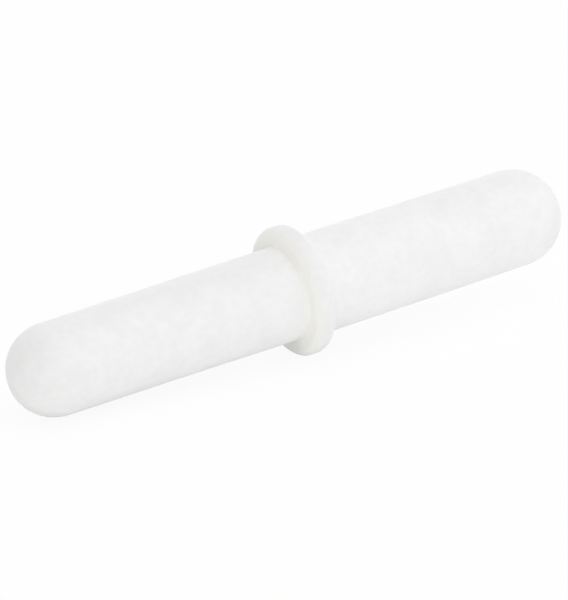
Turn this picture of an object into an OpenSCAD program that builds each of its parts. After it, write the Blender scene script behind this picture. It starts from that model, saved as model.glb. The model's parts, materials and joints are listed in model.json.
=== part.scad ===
// Magnetic stir bar with a pivot ring: a magnet rod sealed in one white fluoropolymer jacket.
// The bar is drawn along X about its own middle, then laid down as it comes to rest:
// on the rim of its pivot ring and on the end of its longer half.

/* [Bar] */
// Length over both rounded ends
bar_length = 51; // [40:1:80]
// Diameter of the longer half, whose end touches the surface
low_half_d = 7.7; // [7:0.05:10]
// Diameter of the shorter half, whose end is raised
high_half_d = 8.05; // [7:0.05:10]

/* [Pivot ring] */
// Height of the ring above the thicker half
ring_height = 1.325; // [0.8:0.025:3]
// Width of the ring along the bar
ring_w = 1.8; // [1.2:0.1:4]
// Radius on both edges of the ring's rim
ring_edge_r = 0.65; // [0.1:0.05:0.65]
// Fillet where the ring's faces meet the bar
ring_root_r = 0.15; // [0.05:0.05:0.4]
// Distance of the ring's middle from the bar's middle, towards the shorter half
ring_shift = 0.65; // [0:0.05:5]

/* [Jacket wall] */
// Wall of the jacket around the magnet, on the slimmer half
side_wall = 1.1; // [0.6:0.05:2]
// Solid jacket between the magnet and the tip of each rounded end
end_wall = 3.5; // [2.5:0.1:8]

/* [Magnet] */
// Chamfer on both ends of the magnet rod
magnet_chamfer = 0.4; // [0.1:0.05:1]
// Clearance between the magnet and the jacket moulded around it
magnet_gap = 0.02; // [0.01:0.01:0.1]

/* [Hidden] */
$fn = 128;

low_r = low_half_d / 2;
high_r = high_half_d / 2;
ring_r = max(low_r, high_r) + ring_height;

// Radius on the rim's edges, where a narrow ring has less room for it
rim_edge_r = min(ring_edge_r, 0.45 * ring_w);

// Centres of the two rounded ends, each as far from the middle as its sphere allows
low_end_x = -(bar_length / 2 - low_r);
high_end_x = bar_length / 2 - high_r;

// Space moulded around the magnet, and the rod inside it
cavity_d = min(low_half_d, high_half_d) - 2 * side_wall;
cavity_length = bar_length - 2 * end_wall;
magnet_d = cavity_d - 2 * magnet_gap;
magnet_length = cavity_length - 2 * magnet_gap;

// Laying down: one line touches the low end's sphere and the ring's nearer edge radius
edge_x = ring_shift - ring_w / 2 + rim_edge_r;
edge_r = ring_r - rim_edge_r;
span = edge_x - low_end_x;
rest_tilt = acos((low_r - rim_edge_r) / norm([span, edge_r])) - atan2(span, edge_r);
rest_height = low_r - low_end_x * sin(rest_tilt);
rest_x = (low_r - high_r - (low_end_x + high_end_x) * cos(rest_tilt)) / 2;

// Puts a thing drawn along Z onto the resting bar's axis, with its upper end on the raised side
module at_rest() {
    translate([rest_x, 0, rest_height])
        rotate([0, 90 - rest_tilt, 0])
            children();
}

// Half section of one half of the bar: shaft and full-round end, growing from the ring along Y
module half_section(r, end_y) {
    square([r, end_y]);
    intersection() {
        translate([0, end_y]) circle(r);
        translate([0, end_y]) square(r);
    }
}

// Half section of the pivot ring, with both rim edges rounded
module ring_section() {
    flat = ring_w - 2 * rim_edge_r;
    translate([0, -ring_w / 2]) square([edge_r, ring_w]);
    translate([0, -flat / 2]) square([ring_r, flat]);
    for (side = [-1, 1])
        translate([edge_r, side * flat / 2]) circle(rim_edge_r);
}

// Small concave fillet in the corner between a shaft of radius r and the ring's face above it
module root_section(r) {
    translate([r, ring_w / 2])
        difference() {
            square(ring_root_r);
            translate([ring_root_r, ring_root_r]) circle(ring_root_r);
        }
}

// Half section of the space for a rod of length l and diameter d, with chamfered ends
module rod_section(d, l, chamfer) {
    polygon([
        [0, -l / 2],
        [d / 2 - chamfer, -l / 2],
        [d / 2, -l / 2 + chamfer],
        [d / 2, l / 2 - chamfer],
        [d / 2 - chamfer, l / 2],
        [0, l / 2]
    ]);
}

// One-piece jacket: both halves and the pivot ring, sealed around the magnet's space
module jacket() {
    color("white")
        at_rest()
            rotate_extrude()
                difference() {
                    union() {
                        half_section(high_r, high_end_x);
                        mirror([0, 1]) half_section(low_r, -low_end_x);
                        translate([0, ring_shift]) {
                            ring_section();
                            root_section(high_r);
                            mirror([0, 1]) root_section(low_r);
                        }
                    }
                    rod_section(cavity_d, cavity_length, magnet_chamfer);
                }
}

// Magnet rod: cast, ground round and chamfered at both ends
module magnet_rod() {
    color("dimgray")
        at_rest()
            rotate_extrude()
                rod_section(magnet_d, magnet_length, magnet_chamfer);
}

jacket();
magnet_rod();
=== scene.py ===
import json
import math

import bmesh
import bpy
from mathutils import Matrix, Vector


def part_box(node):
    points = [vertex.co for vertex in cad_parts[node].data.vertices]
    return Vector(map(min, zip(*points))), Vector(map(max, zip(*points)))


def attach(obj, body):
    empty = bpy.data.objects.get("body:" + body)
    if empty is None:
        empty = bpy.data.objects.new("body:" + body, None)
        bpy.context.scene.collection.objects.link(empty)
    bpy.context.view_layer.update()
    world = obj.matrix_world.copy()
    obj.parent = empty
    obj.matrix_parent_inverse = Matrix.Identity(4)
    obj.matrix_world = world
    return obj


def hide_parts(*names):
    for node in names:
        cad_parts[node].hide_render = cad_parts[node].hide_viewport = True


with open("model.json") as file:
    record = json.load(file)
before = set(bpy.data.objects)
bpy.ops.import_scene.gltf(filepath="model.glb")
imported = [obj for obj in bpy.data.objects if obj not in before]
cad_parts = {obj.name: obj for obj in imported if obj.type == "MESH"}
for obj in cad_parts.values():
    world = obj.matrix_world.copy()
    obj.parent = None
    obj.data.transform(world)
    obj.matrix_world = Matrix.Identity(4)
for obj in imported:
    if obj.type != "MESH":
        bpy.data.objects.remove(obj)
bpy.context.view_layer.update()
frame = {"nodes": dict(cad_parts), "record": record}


# ---- Jacket ----------------------------------------------------------------------------------
# One piece of white fluoropolymer, moulded around the magnet and turned to size: two shafts with
# full-round ends, and the pivot ring between them. It has no seam. The halves differ a little in
# diameter, each draws in slightly towards its end, and the cold-set polymer is never quite even.

# The bar is made upright about its ring's middle in millimetres, low end down, as it would be
# turned in a lathe. It is laid on its line in the frame, and brought to metres, when it is done.
mm = 0.001

# Points closer than this, in millimetres, count as one
touching = 0.001


def half_of_bar(name):
    """One half's shaft radius, and where its straight stretch starts and ends, from its mount."""
    mount = next(m for m in frame["record"]["mounts"] if m["name"] == name)
    middle = Vector(mount["pos_m"])
    reach = Vector(mount["axis"]).normalized() * mount["dims"]["length_mm"] * mm / 2
    return mount["dims"]["r_mm"], middle - reach, middle + reach


low_r, low_foot, low_end = half_of_bar("low_half")
high_r, high_foot, high_end = half_of_bar("high_half")
ring_middle = (low_foot + high_foot) / 2
bar_line = (high_foot - low_foot).normalized()
lay_down = (Matrix.Translation(ring_middle)
            @ bar_line.to_track_quat("Z", "Y").to_matrix().to_4x4()
            @ Matrix.Scale(mm, 4))
stand_up = lay_down.inverted()

# The ring, with a radius on both edges of its rim and a fillet at both its feet. The shafts'
# straight stretches start at those fillets.
jacket_low, jacket_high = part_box("jacket")
ring_r = (jacket_high.y - jacket_low.y) / 2 / mm
ring_edge_r = 0.65
ring_root_r = 0.15
ring_half_w = (high_foot - low_foot).length / 2 / mm - ring_root_r

# Each half is this much over its nominal radius at the ring, and under it at the dome
low_draft = 0.03
high_draft = 0.06
low_root, low_dome_r = low_r + low_draft, low_r - low_draft
high_root, high_dome_r = high_r + high_draft, high_r - high_draft
low_dome_z = (stand_up @ low_end).z - low_draft
high_dome_z = (stand_up @ high_end).z + high_draft

# Faces around the bar, over a whole ball's height, over the rim's radius and over the fillet, and
# the millimetres between two stations along a shaft
around = 128
ball_steps = 64
rim_steps = 8
fillet_steps = 4
shaft_step = 0.5


def nothing_selected():
    """Object mode with nothing selected, as each piece is begun."""
    if bpy.context.mode != "OBJECT":
        bpy.ops.object.mode_set(mode="OBJECT")
    bpy.ops.object.select_all(action="DESELECT")


def pick_around(wanted):
    """In edit mode, selects only the edges that run around the bar at places that are wanted."""
    bpy.ops.mesh.select_all(action="DESELECT")
    shape = bmesh.from_edit_mesh(bpy.context.object.data)
    for edge in shape.edges:
        start, end = (vert.co for vert in edge.verts)
        level = abs(start.z - end.z) < touching
        edge.select = level and wanted(start) and wanted(end)
    shape.select_flush_mode()
    bmesh.update_edit_mesh(bpy.context.object.data)


def dome(z, radius, side):
    """Half a ball at height z, open towards the ring; side is -1 below the ring and 1 above it."""
    nothing_selected()
    bpy.ops.mesh.primitive_uv_sphere_add(
        segments=around, ring_count=ball_steps, radius=radius, location=(0, 0, z))
    bpy.ops.object.transform_apply(location=True)
    ball = bpy.context.object
    bpy.ops.object.mode_set(mode="EDIT")
    bpy.context.tool_settings.mesh_select_mode = (True, False, False)
    bpy.ops.mesh.select_all(action="SELECT")
    bpy.ops.mesh.bisect(
        plane_co=(0, 0, z), plane_no=(0, 0, side), clear_inner=True, threshold=touching)
    bpy.context.tool_settings.mesh_select_mode = (False, True, False)
    return ball


def turn(stations):
    """Extrudes the open rim through each height and radius, as a lathe's tool goes along."""
    for (z0, r0), (z1, r1) in zip(stations, stations[1:]):
        bpy.ops.mesh.extrude_region_move(TRANSFORM_OT_translate={"value": (0, 0, z1 - z0)})
        bpy.ops.transform.resize(value=(r1 / r0, r1 / r0, 1), center_override=(0, 0, z1))


def straight(z0, r0, z1, r1):
    """Stations along a shaft, close enough together to carry its unevenness."""
    steps = max(1, round(abs(z1 - z0) / shaft_step))
    return [(z0 + (z1 - z0) * i / steps, r0 + (r1 - r0) * i / steps) for i in range(steps + 1)]


# From the low dome up the low shaft, out over the ring, and up the high shaft
jacket = dome(low_dome_z, low_dome_r, -1)
jacket.name = "jacket_skin"
pick_around(lambda co: abs(co.z - low_dome_z) < touching)
turn(straight(low_dome_z, low_dome_r, -ring_half_w, low_root)
     + [(-ring_half_w, ring_r), (ring_half_w, ring_r), (ring_half_w, high_root)]
     + straight(ring_half_w, high_root, high_dome_z, high_dome_r)[1:])


def on_ring_face(co):
    """Whether a place is level with one of the ring's two faces."""
    return abs(abs(co.z) - ring_half_w) < touching


# The ring's rim is rounded on both edges, and a small fillet fills each corner at its foot
pick_around(lambda co: on_ring_face(co) and co.xy.length > ring_r - touching)
bpy.ops.mesh.bevel(offset=ring_edge_r, segments=rim_steps, affect="EDGES")
pick_around(lambda co: on_ring_face(co) and co.xy.length < high_root + touching)
bpy.ops.mesh.bevel(offset=ring_root_r, segments=fillet_steps, affect="EDGES")

# The high dome closes the skin
high_dome = dome(high_dome_z, high_dome_r, 1)
nothing_selected()
high_dome.select_set(True)
jacket.select_set(True)
bpy.context.view_layer.objects.active = jacket
bpy.ops.object.join()
bpy.ops.object.mode_set(mode="EDIT")
bpy.ops.mesh.select_all(action="SELECT")
bpy.ops.mesh.remove_doubles(threshold=2 * touching)
bpy.ops.mesh.normals_make_consistent(inside=False)
bpy.ops.object.mode_set(mode="OBJECT")

# The polymer draws back unevenly as it cools, by hundredths of a millimetre, and only inwards
shrinkage = bpy.data.textures.new("shrinkage", "CLOUDS")
shrinkage.noise_scale = 4.5
shrinkage.noise_depth = 1
uneven = jacket.modifiers.new("uneven", "DISPLACE")
uneven.texture = shrinkage
uneven.texture_coords = "LOCAL"
uneven.strength = 0.03
uneven.mid_level = 1
bpy.ops.object.modifier_apply(modifier=uneven.name)

# The inner wall follows the magnet rod, with the clearance and the chamfer that the rod has
rod_points = [stand_up @ vertex.co for vertex in frame["nodes"]["magnet_rod"].data.vertices]
rod_bottom = min(point.z for point in rod_points)
rod_top = max(point.z for point in rod_points)
rod_r = max(point.xy.length for point in rod_points)
rod_gap = 0.02
rod_chamfer = 0.4
nothing_selected()
bpy.ops.mesh.primitive_cylinder_add(
    vertices=96, radius=rod_r + rod_gap, depth=rod_top - rod_bottom + 2 * rod_gap,
    location=(0, 0, (rod_bottom + rod_top) / 2))
bpy.ops.object.transform_apply(location=True)
inner_wall = bpy.context.object
bpy.ops.object.mode_set(mode="EDIT")
for end_z in (rod_bottom - rod_gap, rod_top + rod_gap):
    pick_around(lambda co: abs(co.z - end_z) < touching)
    bpy.ops.mesh.bevel(offset=rod_chamfer, segments=1, affect="EDGES")
bpy.ops.mesh.select_all(action="SELECT")
bpy.ops.mesh.normals_make_consistent(inside=True)
nothing_selected()
inner_wall.select_set(True)
jacket.select_set(True)
bpy.context.view_layer.objects.active = jacket
bpy.ops.object.join()

jacket.matrix_world = lay_down
bpy.ops.object.transform_apply(location=True, rotation=True, scale=True)
bpy.ops.object.shade_smooth_by_angle(angle=math.radians(35))


def put(tree, kind, inputs=None, **settings):
    """Adds a shader node. An input given a socket is linked to it, and any other value is set."""
    node = tree.nodes.new(kind)
    for name, value in settings.items():
        setattr(node, name, value)
    for name, value in (inputs or {}).items():
        if isinstance(value, bpy.types.NodeSocket):
            tree.links.new(value, node.inputs[name])
        else:
            node.inputs[name].default_value = value
    return node


def upright(tree):
    """The place on the upright bar, in millimetres from its ring's middle, Z along the bar."""
    place = put(tree, "ShaderNodeTexCoord").outputs["Object"]
    return put(tree, "ShaderNodeMapping", {
        "Vector": place,
        "Location": lay_down.to_translation(),
        "Rotation": lay_down.to_euler(),
        "Scale": lay_down.to_scale(),
    }, vector_type="TEXTURE").outputs["Vector"]


def clouds(tree, place, per_mm, detail):
    """Soft noise between 0 and 1, with this many blotches to the millimetre."""
    return put(tree, "ShaderNodeTexNoise", {
        "Vector": place, "Scale": per_mm, "Detail": detail, "Roughness": 0.55}).outputs["Fac"]


def between(tree, factor, first, second, blend="MIX"):
    """The first colour where the factor is 0, and the second blended over it where it is 1."""
    # A Mix node's colours are its sockets 6 and 7, and come out at its socket 2
    return put(tree, "ShaderNodeMix", {0: factor, 6: first, 7: second},
               data_type="RGBA", blend_type=blend).outputs[2]


def spread(tree, value, from_low, from_high, to_low, to_high):
    """Brings a value from one range to another, easing in and out, and no further."""
    return put(tree, "ShaderNodeMapRange", {
        "Value": value, "From Min": from_low, "From Max": from_high,
        "To Min": to_low, "To Max": to_high}, interpolation_type="SMOOTHSTEP").outputs["Result"]


def maths(tree, operation, *values):
    """The result of one operation on these values."""
    inputs = dict(enumerate(values))
    return put(tree, "ShaderNodeMath", inputs, operation=operation).outputs["Value"]


def raised(tree, height, depth, under=None):
    """The normal of a surface whose height of 0 to 1 stands for this depth, in metres."""
    inputs = {"Height": height, "Distance": depth, "Strength": 1.0}
    if under is not None:
        inputs["Normal"] = under
    return put(tree, "ShaderNodeBump", inputs).outputs["Normal"]


# Marks that a tool or a wheel leaves around a turned piece: close rings of uneven depth that
# wander and fade, over a slower waviness along the piece
turned_marks = bpy.data.node_groups.new("turned marks", "ShaderNodeTree")
for label, kind in (("Place", "NodeSocketVector"), ("Rings", "NodeSocketFloat"),
                    ("Waves", "NodeSocketFloat")):
    turned_marks.interface.new_socket(label, in_out="INPUT", socket_type=kind)
turned_marks.interface.new_socket("Height", in_out="OUTPUT", socket_type="NodeSocketFloat")
marks_in = put(turned_marks, "NodeGroupInput")
marks_out = put(turned_marks, "NodeGroupOutput")


def drawn_round(count):
    """Noise drawn out around the bar into rings, with this many of them to the millimetre."""
    along = put(turned_marks, "ShaderNodeCombineXYZ", {"X": 0.1, "Y": 0.1, "Z": count})
    squeezed = put(turned_marks, "ShaderNodeVectorMath", {
        0: marks_in.outputs["Place"], 1: along.outputs["Vector"]}, operation="MULTIPLY")
    return clouds(turned_marks, squeezed.outputs["Vector"], per_mm=1, detail=3)


both = maths(turned_marks, "ADD",
             drawn_round(marks_in.outputs["Rings"]), drawn_round(marks_in.outputs["Waves"]))
turned_marks.links.new(maths(turned_marks, "MULTIPLY", both, 0.5), marks_out.inputs["Height"])


def marks_on(tree, place, rings, waves):
    """The turned marks' height on a piece, with its own count of rings and waves."""
    marks = put(tree, "ShaderNodeGroup", node_tree=turned_marks)
    tree.links.new(place, marks.inputs["Place"])
    marks.inputs["Rings"].default_value = rings
    marks.inputs["Waves"].default_value = waves
    return marks.outputs["Height"]


fluoropolymer = bpy.data.materials.new("white fluoropolymer")
fluoropolymer.use_nodes = True
tree = fluoropolymer.node_tree
shader = tree.nodes["Principled BSDF"]
bar_place = upright(tree)

# A faint clouding in the sintered polymer, with a finer grain in it
dull_white = (0.88, 0.88, 0.88, 1)
bright_white = (0.917, 0.917, 0.917, 1)
clouding = clouds(tree, bar_place, per_mm=0.45, detail=3)
grain = clouds(tree, bar_place, per_mm=1.6, detail=2)
grainy_clouding = maths(tree, "ADD", clouding, maths(tree, "MULTIPLY", grain, 0.9))
shade = spread(tree, grainy_clouding, 0.65, 1.25, 0, 1)
white = between(tree, shade, dull_white, bright_white)

# The ring's face on the low side, and the shaft at its foot, are painted in patches between a
# brownish and a greenish cast: painted shade, the warm tint that shade takes in that corner
brownish = (0.896, 0.884, 0.843, 1)
greenish = (0.889, 0.893, 0.85, 1)
painted_tint_down_shaft = 0.7
low_face_z = -ring_half_w
along = put(tree, "ShaderNodeSeparateXYZ", {"Vector": bar_place}).outputs["Z"]
up_the_shaft = spread(tree, along, low_face_z - painted_tint_down_shaft, low_face_z + 0.05, 0, 1)
off_the_rim = spread(tree, along, low_face_z, low_face_z + ring_edge_r, 1, 0)
patchy = spread(tree, clouds(tree, bar_place, per_mm=0.7, detail=3), 0.3, 0.6, 0.55, 1)
painted_shade_tint = maths(tree, "MULTIPLY", maths(tree, "MULTIPLY", up_the_shaft, off_the_rim), patchy)
greener = spread(tree, clouds(tree, bar_place, per_mm=0.3, detail=1), 0.4, 0.6, 0, 1)
shade_tinted = between(tree, painted_shade_tint, white, between(tree, greener, brownish, greenish))

# Beside the ring's high side the shaft is painted a little whiter: painted light that fills in
# the ring's shadow there
painted_light_white = (0.94, 0.941, 0.94, 1)
high_face_z = ring_half_w
behind = spread(tree, along, high_face_z - 0.1, high_face_z + 0.2, 0, 1)
near_foot = spread(tree, along, high_face_z + 0.5, high_face_z + 1.5, 1, 0)
painted_light_mask = maths(tree, "MULTIPLY", behind, near_foot)
light_painted = between(tree, painted_light_mask, shade_tinted, painted_light_white)

# The low end is painted greyer, and less so the rest of its half, the ring's rim and the raised
# end: painted shade, where these faces fall darker under the light
painted_shade_grey = (0.922, 0.922, 0.917, 1)
rim_shading = 0.5
low_half_shading = 0.3
low_end_shading = 0.7
high_end_shading = 0.45
low_tip_z = low_dome_z - low_dome_r
high_tip_z = high_dome_z + high_dome_r
across = put(tree, "ShaderNodeVectorMath", {0: bar_place, 1: (1, 1, 0)}, operation="MULTIPLY")
from_line = put(tree, "ShaderNodeVectorMath", {0: across.outputs["Vector"]}, operation="LENGTH")
on_rim = spread(tree, from_line.outputs["Value"], ring_r - 0.5, ring_r - 0.1, 0, rim_shading)
on_low_half = spread(tree, along, -6, -1.5, low_half_shading, 0)
on_low_end = spread(tree, along, low_tip_z, low_dome_z + 2, low_end_shading, 0)
on_high_end = spread(tree, along, high_dome_z, high_tip_z, 0, high_end_shading)
low_and_end = maths(tree, "ADD", on_low_half, on_low_end)
painted_shade_amount = maths(tree, "MAXIMUM", on_rim, maths(tree, "MAXIMUM", low_and_end, on_high_end))
shade_painted = between(tree, painted_shade_amount, light_painted, painted_shade_grey, blend="MULTIPLY")
tree.links.new(shade_painted, shader.inputs["Base Color"])

# Satin skin, uneven in the finest scale, with the lathe's marks around it
smoothest = 0.47
roughest = 0.59
pebble_depth = 0.004 * mm
lathe_mark_depth = 0.003 * mm
uneven_gloss = clouds(tree, bar_place, per_mm=1.6, detail=4)
gloss = spread(tree, uneven_gloss, 0.3, 0.7, smoothest, roughest)
tree.links.new(gloss, shader.inputs["Roughness"])
pebbled = raised(tree, grain, pebble_depth)
lathe_marks = marks_on(tree, bar_place, rings=5, waves=1.1)
turned = raised(tree, lathe_marks, lathe_mark_depth, pebbled)
tree.links.new(turned, shader.inputs["Normal"])
shader.inputs["IOR"].default_value = 1.35
shader.inputs["Subsurface Weight"].default_value = 0.3
shader.inputs["Subsurface Radius"].default_value = (1, 1, 1)
shader.inputs["Subsurface Scale"].default_value = 0.3 * mm

jacket.data.materials.clear()
jacket.data.materials.append(fluoropolymer)
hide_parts("jacket")
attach(jacket, "root")


# ---- Magnet rod ------------------------------------------------------------------------------
# A rod of cast alnico, ground round and chamfered at both ends, sealed inside the jacket. Its skin
# has the wheel's fine rings and the small dark pits that such castings have.
alnico = bpy.data.materials.new("ground alnico")
alnico.use_nodes = True
tree = alnico.node_tree
shader = tree.nodes["Principled BSDF"]
bar_place = upright(tree)

# Blotches of a slightly warmer grey where the grinding ran hot
cool_grey = (0.345, 0.342, 0.34, 1)
warm_grey = (0.4, 0.385, 0.365, 1)
heated = spread(tree, clouds(tree, bar_place, per_mm=0.35, detail=4), 0.3, 0.7, 0, 1)
metal = between(tree, heated, cool_grey, warm_grey)

# A small pit in the middle of each cell is dark, rough and less metallic
pit_black = (0.09, 0.085, 0.08, 1)
pit_depth = 0.04 * mm
cells = put(tree, "ShaderNodeTexVoronoi", {"Vector": bar_place, "Scale": 1.7, "Randomness": 1.0})
pits = spread(tree, cells.outputs["Distance"], 0.06, 0.13, 1, 0)
pitted = between(tree, pits, metal, pit_black)
tree.links.new(pitted, shader.inputs["Base Color"])
less_metallic = maths(tree, "MULTIPLY", pits, 0.6)
tree.links.new(maths(tree, "SUBTRACT", 1, less_metallic), shader.inputs["Metallic"])
sunk = raised(tree, maths(tree, "SUBTRACT", 1, pits), pit_depth)

# The wheel's rings over the whole rod
wheel_mark_depth = 0.003 * mm
wheel_marks = marks_on(tree, bar_place, rings=11, waves=1.8)
ground = spread(tree, wheel_marks, 0.35, 0.65, 0.3, 0.42)
rougher = maths(tree, "MULTIPLY", pits, 0.35)
tree.links.new(maths(tree, "ADD", ground, rougher), shader.inputs["Roughness"])
tree.links.new(raised(tree, wheel_marks, wheel_mark_depth, sunk), shader.inputs["Normal"])

for slot in frame["nodes"]["magnet_rod"].material_slots:
    slot.material = alnico


# ---- Floor -----------------------------------------------------------------------------------
# A flat sheet of white studio paper. To the camera, and in reflections, it is lifted almost to pure
# white, and keeps a faint trace of the bar's shadow.
nothing_selected()
bpy.ops.mesh.primitive_plane_add(size=6)
floor = bpy.context.object
floor.name = "floor"
paper = bpy.data.materials.new("floor paper")
paper.use_nodes = True
tree = paper.node_tree
shader = tree.nodes["Principled BSDF"]
shader.inputs["Base Color"].default_value = (0.98, 0.98, 0.98, 1)
shader.inputs["Roughness"].default_value = 0.9
shader.inputs["Specular IOR Level"].default_value = 0


def is_looked_at(tree):
    """1 for rays from the camera, mirrored ones and those through glass, and 0 for the rest."""
    rays = put(tree, "ShaderNodeLightPath").outputs
    mirrored = maths(tree, "MAXIMUM", rays["Is Glossy Ray"], rays["Is Transmission Ray"])
    return maths(tree, "MAXIMUM", rays["Is Camera Ray"], mirrored)


pure_white = (1, 1, 1, 1)
lift = put(tree, "ShaderNodeEmission", {"Color": pure_white, "Strength": 1.0})
share = maths(tree, "MULTIPLY", is_looked_at(tree), 0.9)
lifted = put(tree, "ShaderNodeMixShader", {
    0: share, 1: shader.outputs["BSDF"], 2: lift.outputs["Emission"]})
tree.links.new(lifted.outputs["Shader"], tree.nodes["Material Output"].inputs["Surface"])
floor.data.materials.append(paper)


# ---- Light -----------------------------------------------------------------------------------
# Soft studio light: an even white surround and six large soft boxes, all at the same distance. To
# the camera and in reflections the surround is pure white.
world = bpy.data.worlds.new("studio")
bpy.context.scene.world = world
world.use_nodes = True
tree = world.node_tree
surround = tree.nodes["Background"]
surround.inputs["Color"].default_value = pure_white
surround.inputs["Strength"].default_value = 0.49
backdrop = put(tree, "ShaderNodeBackground", {"Color": pure_white, "Strength": 1})
seen = put(tree, "ShaderNodeMixShader", {
    0: is_looked_at(tree), 1: surround.outputs["Background"], 2: backdrop.outputs["Background"]})
tree.links.new(seen.outputs["Shader"], tree.nodes["World Output"].inputs["Surface"])

# The soft boxes' width, and their distance from the bar
box_size = 1.2
box_distance = 1.0


def towards(azimuth, elevation):
    """The way from the bar at these degrees: azimuth 0 is in front, 90 is past its high end."""
    turn_by, rise_by = math.radians(azimuth), math.radians(elevation)
    return Vector((
        math.sin(turn_by) * math.cos(rise_by),
        -math.cos(turn_by) * math.cos(rise_by),
        math.sin(rise_by)))


def soft_box(name, azimuth, elevation, power):
    """A round soft box aimed at the bar, with its power in watts."""
    lamp = bpy.data.lights.new(name, "AREA")
    lamp.shape = "DISK"
    lamp.size = box_size
    lamp.energy = power
    box = bpy.data.objects.new(name, lamp)
    bpy.context.scene.collection.objects.link(box)
    side = towards(azimuth, elevation)
    box.location = side * box_distance
    box.rotation_euler = side.to_track_quat("Z", "Y").to_euler()


soft_box("front", -31, 0, 5.05)
soft_box("low end", -60, 0, 2.3)
soft_box("high end", 90, 0, 3.3)
soft_box("high side", 70, 45, 2.0)
soft_box("back", 180, 20, 2.6)
soft_box("overhead", 0, 88, 2.45)


# ---- Camera ----------------------------------------------------------------------------------
# A long lens on the bar's low end's side and a little above it, far enough off that the bar hardly
# tapers with distance.
camera_aim = Vector((-0.00029, -0.0001, 0.00477))
camera_distance = 0.798
camera_data = bpy.data.cameras.new("camera")
camera_data.lens = 600
camera_data.clip_start = 0.01
camera_data.clip_end = 20
camera = bpy.data.objects.new("camera", camera_data)
bpy.context.scene.collection.objects.link(camera)
camera_side = towards(-31.96, 24.3)
camera.location = camera_aim + camera_side * camera_distance
camera.rotation_euler = camera_side.to_track_quat("Z", "Y").to_euler()
bpy.context.scene.camera = camera

bpy.context.scene.view_settings.view_transform = "Standard"
